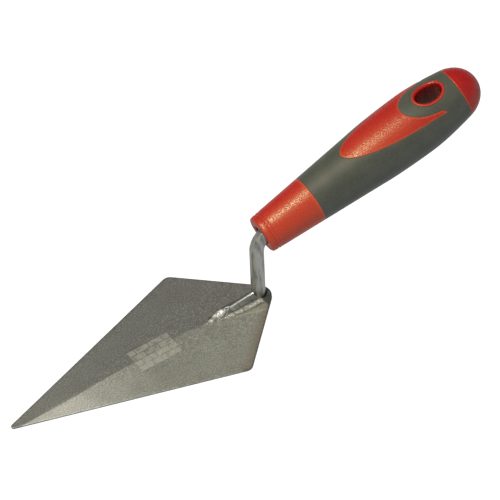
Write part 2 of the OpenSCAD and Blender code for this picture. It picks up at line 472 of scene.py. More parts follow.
def weld_material(name, dark, light, pit_share):
    """Cooled weld metal: soft lumps of two tones with a few dark pits."""
    metal = Material(name, 0.35, 0.42)
    lumps = metal.noise(2.2 * MM, 3.0, 0.55)
    colour = metal.mix(metal.remap(lumps, 0.38, 0.60), dark, light)
    pits = metal.noise(1.1 * MM, 2.0, 0.5)
    colour = metal.mix(metal.remap(pits, 0.66 - pit_share, 0.74 - pit_share), colour, PIT_DARK)
    metal.colour(colour)
    metal.roughness(metal.remap(lumps, 0.3, 0.7, 0.55, 0.35))
    metal.bump(lumps, 0.5 * MM, 0.5)
    metal.bump(pits, 0.25 * MM, 0.5)
    return metal.material


def plastic_material():
    red = Material("red_plastic", 0.0, 0.36)
    cloud = red.noise(9 * MM, 3.0, 0.5)
    colour = red.mix(red.remap(cloud, 0.3, 0.7), RED_DEEP, RED_BRIGHT)
    # painted sheen: orange painted where the key light and its highlights fall
    colour = red.mix(attribute(red, "painted_sheen"), colour, RED_SHEEN)
    # painted highlight: lighter orange along the core's edges where it meets the grip
    colour = red.mix(attribute(red, "edge"), colour, RED_EDGE_HIGHLIGHT)
    colour = red.mix(attribute(red, "shade"), colour, RED_SHADE)
    red.colour(colour)
    grain = red.noise(0.6 * MM, 2.0, 0.6)
    red.roughness(red.remap(grain, 0.42, 0.62, 0.25, 0.58))
    red.bump(grain, 0.12 * MM, 0.9)
    red.shader.inputs["Specular IOR Level"].default_value = 0.55
    red.shader.inputs["Specular Tint"].default_value = RED_GLOSS
    red.shader.inputs["Subsurface Weight"].default_value = 0.08
    red.shader.inputs["Subsurface Radius"].default_value = (1.0, 0.25, 0.1)
    red.shader.inputs["Subsurface Scale"].default_value = 1.5 * MM
    return red.material


def rubber_material():
    rubber = Material("soft_rubber", 0.0, 0.72)
    cloud = rubber.noise(7 * MM, 4.0, 0.6)
    colour = rubber.mix(rubber.remap(cloud, 0.3, 0.7), RUBBER_DARK, RUBBER_LIGHT)
    grain = rubber.noise(0.5 * MM, 3.0, 0.65)
    colour = rubber.mix(rubber.remap(grain, 0.45, 0.8, 0.0, 0.45), colour, RUBBER_DUST)
    rubber.colour(colour)
    rubber.roughness(rubber.remap(grain, 0.3, 0.7, 0.50, 0.64))
    rubber.bump(grain, 0.05 * MM, 0.6)
    rubber.shader.inputs["Specular IOR Level"].default_value = 0.4
    rubber.shader.inputs["Sheen Weight"].default_value = 0.15
    return rubber.material


# ------------------------ blade

EDGE_BEVEL = 0.22 * MM
FAN_START = -34 * MM
FAN_LINE = [(-33, -1), (-30, -1), (-3, -10)]
HEEL_LINE = [(-3, -11), (-0.5, -8), (-1, -4), (2, -1), (2, 9)]
TIP_THINNING = 0.6 * MM
EDGE_THICKNESS = 1.0 * MM
RIDGE_STEP = 1.2 * MM
RIDGE_GAP = 0.12 * MM
COARSE_GRID = 1.5 * MM
FINE_GRID = 0.45 * MM
FINE_SIDES = (-15 * MM, 9 * MM)
GRID_CLEARANCE = 0.4 * MM
HEEL_SOFTNESS = 0.9 * MM
FAN_SOFTNESS = 0.8 * MM
PALE_WIDTH = 0.55 * MM
# The rust reaches this far from the edge, and fades in this far from the centre line
RUST_REACH = 6 * MM
RUST_START = 6 * MM
# width of the painted shade along the blade's edges
EDGE_SHADE_WIDTH = 0.5 * MM


def ridge_y(x):
    """Where the two ground halves of the blade meet."""
    xs, ys = zip(*RIDGE_POINTS)
    return np.interp(x / MM, xs, ys) * MM


def blade_top(x, y):
    """Height of the blade's ground faces."""
    slope = (SPINE_TOP - EDGE_THICKNESS) / BLADE_HIGH.y
    toward_tip = np.clip((TOE_LOW.x - x) / (TOE_LOW.x - BLADE_LOW.x), 0, 1)
    return SPINE_TOP - TIP_THINNING * toward_tip - slope * np.abs(y - ridge_y(x))


def blade_outline():
    """The blade's outline, anticlockwise, from the CAD node's underside."""
    corners = {
        (round(v.co.x, 6), round(v.co.y, 6))
        for v in frame["nodes"]["blade"].data.vertices
        if v.co.z < 0.001 * MM
    }
    corners = np.array(sorted(corners))
    middle = corners.mean(0)
    angles = np.arctan2(corners[:, 1] - middle[1], corners[:, 0] - middle[0])
    corners = corners[np.argsort(angles)]
    dense = []
    for start, end in zip(corners, np.roll(corners, -1, axis=0)):
        steps = max(1, int(np.linalg.norm(end - start) / COARSE_GRID))
        dense += [start + (end - start) * i / steps for i in range(steps)]
    return np.array(dense)


def build_blade():
    outline = blade_outline()
    inset = offset_loop(outline, -EDGE_BEVEL)
    ridge_x = np.arange(BLADE_LOW.x + RIDGE_STEP, BLADE_HIGH.x - 1.0 * MM, RIDGE_STEP)
    ridge_lines = [
        np.stack([ridge_x, ridge_y(ridge_x) + side * RIDGE_GAP], axis=1) for side in (-1, 1)
    ]
    grid = np.array([
        (x, y)
        for x in np.arange(BLADE_LOW.x, BLADE_HIGH.x, COARSE_GRID)
        for y in np.arange(BLADE_LOW.y, BLADE_HIGH.y, COARSE_GRID)
    ])
    fine = np.array([
        (x, y)
        for x in np.arange(FAN_START, BLADE_HIGH.x, FINE_GRID)
        for y in np.arange(*FINE_SIDES, FINE_GRID)
    ])
    coarse = (grid[:, 0] < FAN_START) | (grid[:, 1] < FINE_SIDES[0]) | (grid[:, 1] > FINE_SIDES[1])
    grid = np.vstack([grid[coarse], fine])
    clear = is_inside(grid, inset) & (distance_to_loops(grid, [inset]) > GRID_CLEARANCE)
    clear &= np.abs(grid[:, 1] - ridge_y(grid[:, 0])) > GRID_CLEARANCE
    flat, faces = triangulate(
        [inset], ridge_lines, grid[clear], lambda middles: is_inside(middles, inset)
    )
    shell = Shell()
    x, y = flat.T
    height = blade_top(x, y)
    shell.add(np.stack([x, y, height], axis=1), faces)
    shell.add(np.stack([x, y, 0 * x], axis=1), faces)
    rim_top = blade_top(outline[:, 0], outline[:, 1]) - EDGE_BEVEL * 0.8
    rim_low = np.full(len(outline), EDGE_BEVEL * 0.8)
    shell.add_rows([
        np.column_stack([inset, blade_top(inset[:, 0], inset[:, 1])]),
        np.column_stack([outline, rim_top]),
        np.column_stack([outline, rim_low]),
        np.column_stack([inset, 0 * rim_low]),
    ])
    piece = make_piece(
        "blade_plate", shell.points, shell.faces, blade_material(), ["blade"], 25
    )
    paint_blade(piece)


def distance_to_line(points, line):
    """Shortest distance from each flat point to an open line."""
    best = np.full(len(points), np.inf)
    for start, end in zip(line[:-1], line[1:]):
        step = end - start
        share = np.clip((points - start) @ step / (step @ step), 0, 1)
        best = np.minimum(best, np.linalg.norm(points - start - share[:, None] * step, axis=1))
    return best


def paint_blade(piece):
    """Point attributes that the blade's material mixes by."""
    mesh = piece.data
    place = np.array([v.co for v in mesh.vertices])
    x, y, z = place.T
    flat = place[:, :2]
    top = z > 0.5 * MM
    # painted light: share of the lighter near half, across the line where the ground halves meet
    near = ease((ridge_y(x) - y) / (0.5 * MM) + 0.5)
    # the dark skin that the grinder left round the heel, behind the tang
    heel_line = np.array(HEEL_LINE) * MM
    heel = ease((x - np.interp(y, heel_line[:, 1], heel_line[:, 0])) / HEEL_SOFTNESS + 0.5)
    heel *= ease((y + 10.5 * MM) / (1.5 * MM))
    # the ground fan beside the right weld and the pale line round it
    fan_line = np.array(FAN_LINE) * MM
    border = np.interp(x, fan_line[:, 0], fan_line[:, 1])
    fan = ease((y - border) / FAN_SOFTNESS + 0.5) * (y < 0) * (x > fan_line[0, 0])
    pale = ease(1 - distance_to_line(flat, fan_line) / PALE_WIDTH)
    # a reddish tint along the near rear edge
    outline = blade_outline()
    edge = distance_to_loops(flat, [outline])
    rear = (y < 0) & (x > FAN_START)
    rust = rear * ease(1 - edge / RUST_REACH) * ease((-RUST_START - y) / RUST_START) * 0.6
    # painted shade: a dark band along the blade's far edges and its near rear edge
    edge_shade = ease(1 - edge / EDGE_SHADE_WIDTH) * ((y > 0) | rear)
    values = {
        "lit_near_half": near, "heel": heel * (1 - fan * 0.2), "rust": rust, "edge_shade": edge_shade * 0.7,
        "fan": fan, "pale": pale,
    }
    paint(piece, {name: numbers * top for name, numbers in values.items()})


# ------------------------ tang

BAR_HALF = 3.2 * MM
BAR_BEVEL = 1.4 * MM
BAR_TWIST = math.radians(10)
POST_LEAN = math.radians(3.2)
EDGE_ROUNDING = 0.35 * MM
FOOT_WIDTH = 3.1 * MM
FOOT_HEIGHT = 3.6 * MM
FOOT_NOSE_HEIGHT = 0.6 * MM
FOOT_RIDGE = 0.35 * MM
POST_SETBACK = 0.7 * MM
KNEE_RADIUS = 11 * MM


def bar_corners(half, bevel):
    """Corners of a bevelled square as (inward, across), inward being the inside of the bends."""
    inner = half - bevel
    return np.array([
        (-half, -inner), (-half, inner), (-inner, half), (inner, half),
        (half, inner), (half, -inner), (inner, -half), (-inner, -half),
    ])


def foot_corners(height, width):
    """Corners of the foot's ridged section, in the same order as bar_corners."""
    side = height * 0.42
    return np.array([
        (0, -width * 0.9), (0, width * 0.9), (side * 0.3, width), (side, width * 0.95),
        (height, FOOT_RIDGE), (height, -FOOT_RIDGE), (side, -width * 0.95), (side * 0.3, -width),
    ])


def rounded(corners, radius, steps=3, between=3):
    """The same outline with each corner cut by a small arc, and points along each side."""
    arcs = []
    count = len(corners)
    for i in range(count):
        corner = corners[i]
        before = corners[i - 1] - corner
        after = corners[(i + 1) % count] - corner
        reach = min(radius, 0.45 * np.linalg.norm(before), 0.45 * np.linalg.norm(after))
        start = corner + before / np.linalg.norm(before) * reach
        end = corner + after / np.linalg.norm(after) * reach
        shares = np.linspace(0, 1, steps)[:, None]
        arcs.append(
            (1 - shares) ** 2 * start + 2 * shares * (1 - shares) * corner + shares ** 2 * end
        )
    points = []
    for arc, following in zip(arcs, arcs[1:] + arcs[:1]):
        shares = np.linspace(0, 1, between + 2)[1:-1, None]
        points += [arc, arc[-1] + (following[0] - arc[-1]) * shares]
    return np.vstack(points)


def turned(corners, angle):
    cos, sin = math.cos(angle), math.sin(angle)
    return corners @ np.array([[cos, sin], [-sin, cos]])


def build_tang():
    rows = []

    def station(origin, heading, corners):
        """One section across the bar; heading is its direction in the XZ plane."""
        inward = np.array([-math.sin(heading), 0, math.cos(heading)])
        section = rounded(corners, EDGE_ROUNDING)
        rows.append([origin + inward * p + ACROSS * q for p, q in section])

    tilt = math.atan2(HANDLE_AXIS[2], HANDLE_AXIS[0])
    bar = bar_corners(BAR_HALF, BAR_BEVEL)
    foot_start = TANG_LOW.x
    inner = np.array([-BAR_HALF - POST_SETBACK, 0, SPINE_TOP + FOOT_HEIGHT])

    for share in np.linspace(0, 1, 20):
        x = foot_start + (inner[0] - foot_start) * share
        height = FOOT_NOSE_HEIGHT + (FOOT_HEIGHT - FOOT_NOSE_HEIGHT) * share ** 0.9
        width = FOOT_WIDTH * (0.55 + 0.45 * ease(share * 2.5))
        station(np.array([x, 0, SPINE_TOP]), 0, foot_corners(height, width))
    upright = math.pi / 2 - POST_LEAN
    for share in np.linspace(0, 1, 9)[1:]:
        blend = ease(share)
        foot = foot_corners(FOOT_HEIGHT, FOOT_WIDTH) - [FOOT_HEIGHT, 0]
        post = turned(bar, BAR_TWIST * blend) - [BAR_HALF, 0]
        station(inner, share * upright, foot * (1 - blend) + post * blend)
    # the knee's arc starts on the leaning post and ends on the handle's axis
    axis_start = FRONT_CENTRE - HANDLE_AXIS * FRONT_CENTRE[0] / HANDLE_AXIS[0]
    post_run = np.array([math.cos(upright), 0, math.sin(upright)])
    post_base = inner + np.array([math.sin(upright), 0, -math.cos(upright)]) * BAR_HALF
    across_axis = np.array([-math.sin(tilt), 0, math.cos(tilt)])
    reach = ((axis_start - post_base) @ across_axis) / (post_run @ across_axis)
    corner = post_base + post_run * reach
    tangent = KNEE_RADIUS * math.tan((upright - tilt) / 2)
    knee_start = corner - post_run * tangent
    knee_end = corner + HANDLE_AXIS * tangent
    centre = knee_start + np.array([math.sin(upright), 0, -math.cos(upright)]) * KNEE_RADIUS
    for share in np.linspace(0, 1, 12)[1:]:
        station(post_base + (knee_start - post_base) * share, upright, turned(bar, BAR_TWIST))
    for share in np.linspace(0, 1, 17)[1:]:
        heading = upright + (tilt - upright) * share
        inward = np.array([-math.sin(heading), 0, math.cos(heading)])
        station(centre + inward * KNEE_RADIUS, heading, turned(bar, BAR_TWIST))
    end = FRONT_CENTRE + HANDLE_AXIS * (TANG_HIGH.x - FRONT_CENTRE[0] - 1 * MM) / HANDLE_AXIS[0]
    for share in np.linspace(0, 1, 12)[1:]:
        station(knee_end + (end - knee_end) * share, tilt, turned(bar, BAR_TWIST))
    shell = Shell()
    shell.add_rows(rows)
    for ring in (rows[0], rows[-1]):
        shell.add_fan(ring, np.mean(ring, axis=0))
    piece = make_piece(
        "tang_bar", shell.points, shell.faces, tang_material(), ["tang"], 50
    )
    place = np.array([v.co for v in piece.data.vertices])
    x, y, z = place.T
    # the foot is painted darker, except along its ridge
    low = ease((inner[2] + 1.2 * MM - z) / (1.5 * MM)) * ease((inner[0] + 1.5 * MM - x) / (1.5 * MM))
    # painted highlight along the top of the foot's ridge
    ridge = low * ease(1 - (np.abs(y) - 0.3 * MM) / (0.25 * MM)) * (z > SPINE_TOP + 0.5 * MM)
    paint(piece, {"scale": low * (1 - ridge), "ridge": ridge})


def paint(piece, values):
    """Stores numbers on a piece's points for its material to mix by."""
    for name, numbers in values.items():
        layer = piece.data.attributes.new(name, "FLOAT", "POINT")
        layer.data.foreach_set("value", np.asarray(numbers, dtype=np.float32))


# ------------------------ welds


WELD_ROOT = 0.3 * MM
SEED_STEP = 7.3
PIT_LEVEL = 0.3
PIT_DEPTH = 3.0
PIT_SHIFT = Vector((9, 4, 2))


def weld_ridge(path, widths, heights, lumps, seed, steps=90, across=14):
    """A closed lumpy bead along a path on the blade: width and height vary along it."""
    path = np.array(path) * MM
    walked = np.concatenate([[0], np.cumsum(np.linalg.norm(np.diff(path, axis=0), axis=1))])
    walked /= walked[-1]
    knots = np.linspace(0, 1, len(widths))
    top = []
    bottom = []
    for share in np.linspace(0, 1, steps):
        centre = np.array([np.interp(share, walked, path[:, k]) for k in (0, 1)])
        ahead = np.array([np.interp(min(1, share + 0.01), walked, path[:, k]) for k in (0, 1)])
        behind = np.array([np.interp(max(0, share - 0.01), walked, path[:, k]) for k in (0, 1)])
        run = (ahead - behind) / np.linalg.norm(ahead - behind)
        side = np.array([-run[1], run[0]])
        width = np.interp(share, knots, widths) * MM
        height = np.interp(share, knots, heights) * MM
        row = []
        low = []
        for k in range(across + 1):
            angle = math.pi * k / across
            flat = centre + side * width / 2 * math.cos(angle)
            ground = float(blade_top(flat[0], flat[1]))
            rise = height * math.sin(angle) ** 0.8
            spot = Vector((flat[0] / MM, flat[1] / MM, seed * SEED_STEP))
            rough = noise.fractal(spot * 0.5, 0.9, 2.1, 3) * lumps * MM
            pit = max(0.0, noise.noise(spot * 0.9 + PIT_SHIFT) - PIT_LEVEL) * PIT_DEPTH * lumps * MM
            edge = math.sin(angle)
            z = ground + max(-0.05 * MM, rise + (rough - pit) * edge)
            if k in (0, across):
                z = ground - 0.1 * MM
            row.append((flat[0], flat[1], z))
            low.append((flat[0], flat[1], ground - WELD_ROOT))
        top.append(row)
        bottom.append(low)
    shell = Shell()
    shell.add_rows(top, closed=False)
    shell.add_rows(bottom, closed=False)
    for k in (0, -1):
        shell.add_strip([row[k] for row in top], [row[k] for row in bottom], closed=False)
        shell.add_strip(top[k], bottom[k], closed=False)
    return shell


def build_welds():
    tan_metal = weld_material("weld_tan", *WELD_TAN, 0.02)
    pale_metal = weld_material("weld_pale", *WELD_PALE, 0.07)
    dull_metal = weld_material("weld_dull", *WELD_DULL, 0.0)
    beads = {
        "weld_toe": (
            [(-32, -1), (-28, -0.8), (-15.5, 0.3)],
            [0.5, 2.6, 4.6, 4.4, 2.8, 1.2], [0.2, 1.1, 2.5, 3.2, 2.9, 1.6], 0.5, 3, pale_metal,
        ),
        "weld_right": (
            [(-25, -2.6), (-17, -3.6), (-1.5, -4.5)],
            [2.0, 3.2, 3.6, 3.8, 3.4], [0.5, 0.9, 1.0, 1.4, 1.6], 0.25, 5, tan_metal,
        ),
        "weld_left": (
            [(-24, 2.4), (-17, 2.9), (2.6, 3.5)],
            [1.2, 1.8, 2.0, 2.2, 2.0], [0.5, 0.8, 0.9, 1.2, 1.4], 0.25, 8, dull_metal,
        ),
        "weld_heel": (
            [(2.6, -3.6), (3.6, -1.6), (3.6, 1.6), (2.6, 3.6)],
            [1.6, 2.0, 1.8], [1.4, 1.4, 1.2], 0.3, 11, dull_metal,
        ),
    }
    for name, (path, widths, heights, lumps, seed, metal) in beads.items():
        shell = weld_ridge(path, widths, heights, lumps, seed)
        make_piece(name + "_bead", shell.points, shell.faces, metal, [name], 60)


# ------------------------ handle

AROUND = 144
REFERENCE = 15 * MM
SEAM = -260 / 180 * math.pi
GRIP_WALL = 2.4 * MM
LIP = 0.3 * MM
LIP_STEPS = (0.0, 0.12, 0.35, 0.65, 1.0)
HOLE_HALF = (7.2 * MM, 4.95 * MM)
RING_WALL = 1.7 * MM
RING_POWER = 2.05
RING_STEPS = 88
WINDOW_BACK = 4.5 * MM
WINDOW_TURN = math.radians(5.0)
WINDOW_HALF = (47.8 * MM, 12.8 * MM)
TONGUE_HALF = (16.4 * MM, 10.4 * MM)
HORN_LENGTH = 3.0 * MM
HORN_CUT = 1.2 * MM
HORN_GAP = 0.9 * MM
OUTLINE_STEP = 0.55 * MM

# The skin tapers evenly from the collar's front, swells for the palm and narrows to the cap
SWELL_START = CAP_START - 45.6 * MM
SWELL_PEAK = CAP_START - 25.6 * MM
SWELL_FADE = CAP_START - 10.6 * MM
TAPER_END = CAP_START - 60.6 * MM
SWELL_START_DROP = 0.45 * MM
SWELL_FADE_DROP = 1.15 * MM
TAPER = (SWELL_RADIUS - SWELL_START_DROP - COLLAR_END_RADIUS) / (SWELL_START - COLLAR_END)
STATIONS = [0, TAPER_END, SWELL_START, SWELL_PEAK, SWELL_FADE, CAP_START]
STATION_RADII = [
    COLLAR_END_RADIUS - TAPER * COLLAR_END,
    SWELL_RADIUS - SWELL_START_DROP - TAPER * 15 * MM,
    SWELL_RADIUS - 0.5 * MM,
    SWELL_RADIUS,
    SWELL_RADIUS - SWELL_FADE_DROP,
    CAP_RADIUS,
]
STATION_SLOPES = [TAPER, TAPER, 0.045, 0.0, -0.13, -0.175]


def radius_at(along):
    """Radius of the handle's outer skin, as smooth curves between a few stations."""
    along = np.clip(np.asarray(along, float), 0, CAP_START)
    k = np.clip(np.searchsorted(STATIONS, along, side="right") - 1, 0, len(STATIONS) - 2)
    x0, x1 = np.take(STATIONS, k), np.take(STATIONS, k + 1)
    y0, y1 = np.take(STATION_RADII, k), np.take(STATION_RADII, k + 1)
    m0, m1 = np.take(STATION_SLOPES, k), np.take(STATION_SLOPES, k + 1)
    h = x1 - x0
    s = (along - x0) / h
    return (
        (2 * s ** 3 - 3 * s ** 2 + 1) * y0 + (s ** 3 - 2 * s ** 2 + s) * h * m0
        + (3 * s ** 2 - 2 * s ** 3) * y1 + (s ** 3 - s ** 2) * h * m1
    )


def on_skin(along, angle, rise=0.0):
    """Points on the handle's skin, raised by rise; angle 0 is the top and 90 degrees is +Y."""
    along, angle = np.broadcast_arrays(np.asarray(along, float), np.asarray(angle, float))
    radius = radius_at(along) + rise
    return (
        FRONT_CENTRE + along[..., None] * HANDLE_AXIS
        + (radius * np.cos(angle))[..., None] * HOLE_AXIS
        + (radius * np.sin(angle))[..., None] * HANDLE_SIDE
    )


def flat_to_skin(flat, rise):
    """Points of the unrolled skin (distance along, arc) set on the handle."""
    return on_skin(flat[:, 0], flat[:, 1] / REFERENCE, rise)


def plan_to_flat(plan, underside=False):
    """Points seen from straight above the handle (along, across), on the unrolled skin."""
    along, across = plan.T
    angle = np.arcsin(np.clip(across / radius_at(along), -1, 1))
    if underside:
        angle = -math.pi - angle
    return np.stack([along, angle * REFERENCE], axis=1)


def anticlockwise(loop):
    x, y = np.asarray(loop).T
    area = (x * np.roll(y, -1) - np.roll(x, -1) * y).sum()
    return loop if area > 0 else loop[::-1]


def lip_drop(distance):
    """How far a moulded edge rolls down, from its distance to the edge."""
    share = np.clip(1 - distance / LIP, 0, 1)
    return LIP * (1 - np.sqrt(1 - share ** 2))


def ring_plan(extra):
    outline = oval(HOLE_HALF[0] + extra, HOLE_HALF[1] + extra, RING_POWER, RING_STEPS)
    return outline + [HOLE_ALONG, 0]


def turned_about_handle(plan, turn):
    """The same plan points after the skin has been turned towards +Y."""
    along, across = plan.T
    radius = radius_at(along)
    return np.stack([along, radius * np.sin(np.arcsin(across / radius) + turn)], axis=1)


def window_flat():
    """The window in the grip: a half ellipse towards the blade, with two horns round the ring."""
    middle = HOLE_ALONG - WINDOW_BACK
    horn_end = HOLE_ALONG + HORN_LENGTH
    past = math.asin((horn_end - HORN_CUT - middle) / WINDOW_HALF[0])
    angles = np.linspace(math.pi / 2 - past, 3 * math.pi / 2 + past, 200)
    outer = np.stack(
        [middle + WINDOW_HALF[0] * np.cos(angles), WINDOW_HALF[1] * np.sin(angles)], axis=1
    )
    outer = turned_about_handle(outer, WINDOW_TURN)
    angles = np.linspace(3 * math.pi / 2, math.pi / 2, 90)
    inner = np.stack(
        [HOLE_ALONG + TONGUE_HALF[0] * np.cos(angles), TONGUE_HALF[1] * np.sin(angles)], axis=1
    )
    tip_inner = np.array([horn_end - HORN_CUT, -TONGUE_HALF[1] - HORN_GAP])
    tips = []
    for side in (-1, 1):
        corner_out = outer[-1] if side < 0 else outer[0]
        corner_in = tip_inner * [1, -side]
        middle_point = (corner_out + corner_in) / 2
        half = np.linalg.norm(corner_out - corner_in) / 2
        turn = np.linspace(-math.pi / 2, math.pi / 2, 9)
        if side > 0:
            turn = -turn
        arc = np.stack(
            [middle_point[0] + half * np.cos(turn), middle_point[1] + half * np.sin(turn)], axis=1
        )
        tips.append(arc if side < 0 else arc[::-1])
    near_tip, far_tip = tips
    loop = np.vstack([outer, near_tip, inner, far_tip[::-1]])
    return anticlockwise(resample(plan_to_flat(loop), OUTLINE_STEP))


def build_handle():
    window = window_flat()
    ring_top = anticlockwise(plan_to_flat(ring_plan(RING_WALL)))
    ring_low = anticlockwise(plan_to_flat(ring_plan(RING_WALL), underside=True))
    columns = (SEAM + 2 * math.pi * np.arange(AROUND + 1) / AROUND) * REFERENCE
    openings = [window, ring_top, ring_low]

    def end_line(along):
        return np.stack([np.full(AROUND + 1, along), columns], axis=1)

    inside_steps = [step * LIP for step in LIP_STEPS]
    lines = [end_line(COLLAR_END + step) for step in inside_steps]
    lines += [end_line(CAP_START - step) for step in inside_steps]
    loops = [offset_loop(loop, step) for loop in openings for step in inside_steps]
    rows = np.linspace(COLLAR_END, CAP_START, 76)[1:-1]
    grid = np.array([(along, arc) for along in rows for arc in columns])
    clear = distance_to_loops(grid, openings) > LIP + 0.35 * MM
    for loop in openings:
        clear &= ~is_inside(grid, loop)
    flat, faces = triangulate(
        loops, lines, grid[clear],
        lambda middles: ~(
            is_inside(middles, window) | is_inside(middles, ring_top) | is_inside(middles, ring_low)
        ),
    )
    gap = distance_to_loops(flat, openings)
    gap = np.minimum(gap, np.minimum(flat[:, 0] - COLLAR_END, CAP_START - flat[:, 0]))
    grip = Shell()
    grip.add(flat_to_skin(flat, -lip_drop(gap)), faces)
    grip.add(flat_to_skin(flat, -GRIP_WALL), faces)
    borders = openings + [end_line(COLLAR_END)[:-1], end_line(CAP_START)[:-1]]
    for border in borders:
        grip.add_strip(flat_to_skin(border, -LIP), flat_to_skin(border, -GRIP_WALL))
    make_piece(
        "grip_sleeve", grip.points, grip.faces, rubber_material(), ["soft_grip"], 55
    )

    core = Shell()
    core.add(flat_to_skin(flat, -GRIP_WALL), faces)
    add_window_pad(core, window)
    add_ring(core)
    add_collar(core)
    add_dome(core)
    piece = make_piece(
        "handle_body", core.points, core.faces, plastic_material(), ["handle_core"],
        55,
    )
    paint_core(piece, window)


def paint_core(piece, window):
    """Painted highlights along the edges where the core meets the grip, painted shade inside the hole,
    and painted sheen on the collar and the window.
    """
    offset = np.array([v.co for v in piece.data.vertices]) - FRONT_CENTRE
    along = offset @ HANDLE_AXIS
    up = offset @ HOLE_AXIS
    side = offset @ HANDLE_SIDE
    away = np.hypot(up, side)
    outside = away > radius_at(along) - 0.8 * MM
    skin = np.stack([along, np.arctan2(side, up) * REFERENCE], axis=1)
    gap = distance_to_loops(skin, [window])
    gap = np.minimum(gap, np.abs(along - COLLAR_END))
    gap = np.minimum(gap, np.where(along >= CAP_START - 1 * MM, np.abs(along - CAP_START), 1))
    plan = np.stack([along - HOLE_ALONG, side], axis=1)
    ring = anticlockwise(ring_plan(RING_WALL) - [HOLE_ALONG, 0])
    gap = np.minimum(gap, distance_to_loops(plan, [ring]))
    # painted highlight along the rolled edges of the window, the collar, the cap and the ring
    edge = ease(1 - gap / (0.7 * MM)) * outside * 0.5
    tube = is_inside(plan, offset_loop(ring, -0.9 * MM))
    shade = tube * ease((radius_at(along) - np.abs(away)) / (5 * MM)) * 0.85
    # painted sheen: the red is painted orange, most on the collar and on the window's right half, where
    # the key light and its highlights fall
    turn = np.arctan2(side, up)
    painted_sheen = ease(1 - (along - 0.4 * HANDLE_LENGTH) / (0.6 * HANDLE_LENGTH))
    painted_sheen *= 0.35 + 0.65 * ease(0.5 - turn / math.radians(60))
    painted_sheen *= along < CAP_START - 1 * MM
    paint(piece, {"edge": edge, "shade": shade, "painted_sheen": painted_sheen})


def add_window_pad(core, window):
    loops = [offset_loop(window, -step * LIP) for step in LIP_STEPS]
    rows = np.arange(window[:, 0].min(), window[:, 0].max(), 1.1 * MM)
    arcs = np.arange(window[:, 1].min(), window[:, 1].max(), 0.7 * MM)
    grid = np.array([(along, arc) for along in rows for arc in arcs])
    clear = is_inside(grid, window) & (distance_to_loops(grid, [window]) > LIP + 0.3 * MM)
    flat, faces = triangulate(
        loops, [], grid[clear], lambda middles: is_inside(middles, window)
    )
    drop = lip_drop(distance_to_loops(flat, [window]))
    core.add(flat_to_skin(flat, -drop), faces)
    core.add_strip(flat_to_skin(window, -LIP), flat_to_skin(window, -GRIP_WALL))


# Distance outside the hole and height over the skin, in mm, from the grip over the lip into the hole
RING_PROFILE = [
    (1.70, -0.45), (1.62, -0.10), (1.48, 0.14), (1.25, 0.28), (0.90, 0.30), (0.55, 0.18),
    (0.28, -0.06), (0.10, -0.40), (0.02, -0.85), (0.00, -1.40),
]


def add_ring(core):
    """The ring round the hang hole on both sides, and the tube that joins them."""
    rows = []
    for underside in (False, True):
        edge = plan_to_flat(ring_plan(RING_WALL), underside)
        side = [flat_to_skin(edge, -GRIP_WALL)]
        for extra, rise in RING_PROFILE:
            side.append(
                flat_to_skin(plan_to_flat(ring_plan(extra * MM), underside), rise * MM)
            )
        rows.append(side)
    top, low = rows
    tube = [top[-1] + (low[-1] - top[-1]) * share for share in np.linspace(0, 1, 14)[1:-1]]
    core.add_rows(top + tube + low[::-1])


MOUTH_RADIUS = 4.7 * MM
MOUTH_DEPTH = 3.5 * MM
FRONT_ROUNDING = 1.0 * MM
GROOVES_END = 6.6 * MM
# Distance from the front and height over the skin, in mm, through the two grooves
COLLAR_PROFILE = [
    (2.6, 0.02), (2.9, -0.06), (3.05, -0.30), (3.35, -0.36), (3.6, -0.14), (3.85, 0.02),
    (4.4, 0.04), (4.7, -0.02), (4.85, -0.16), (5.1, -0.16), (5.3, 0.0), (6.0, 0.0),
]


def angles_around():
    return SEAM + 2 * math.pi * np.arange(AROUND) / AROUND


def skin_ring(along, rise):
    """A round of points at a distance along the handle, raised over the skin."""
    return on_skin(np.full(AROUND, along), angles_around(), rise)


def ring_of(along, radius):
    """A round of points at a distance along the handle, with its own radius."""
    angle = angles_around()
    return (
        FRONT_CENTRE + along * HANDLE_AXIS
        + (radius * np.cos(angle))[:, None] * HOLE_AXIS
        + (radius * np.sin(angle))[:, None] * HANDLE_SIDE
    )


def add_collar(core):
    front = float(radius_at(0))
    edge = FRONT_ROUNDING
    rows = [
        ring_of(MOUTH_DEPTH, MOUTH_RADIUS), ring_of(1.0 * MM, MOUTH_RADIUS),
        ring_of(0.35 * MM, MOUTH_RADIUS + 0.05 * MM), ring_of(0.0, MOUTH_RADIUS + 0.5 * MM),
        ring_of(0.0, front - edge - 0.8 * MM), ring_of(0.0, front - edge),
    ]
    for share in (0.15, 0.35, 0.6, 0.8, 1.0):
        angle = share * math.pi / 2
        rows.append(ring_of(edge * (1 - math.cos(angle)), front - edge + edge * math.sin(angle)))
    for along, rise in COLLAR_PROFILE:
        rows.append(skin_ring(along * MM, rise * MM))
    for along in np.linspace(GROOVES_END, COLLAR_END - LIP, 16):
        rows.append(skin_ring(along, 0.0))
    for step in LIP_STEPS[::-1]:
        drop = float(lip_drop(step * LIP))
        rows.append(skin_ring(COLLAR_END - step * LIP, -drop))
    rows.append(skin_ring(COLLAR_END, -GRIP_WALL))
    core.add_rows(rows)
    core.add_fan(rows[0], np.mean(rows[0], axis=0))


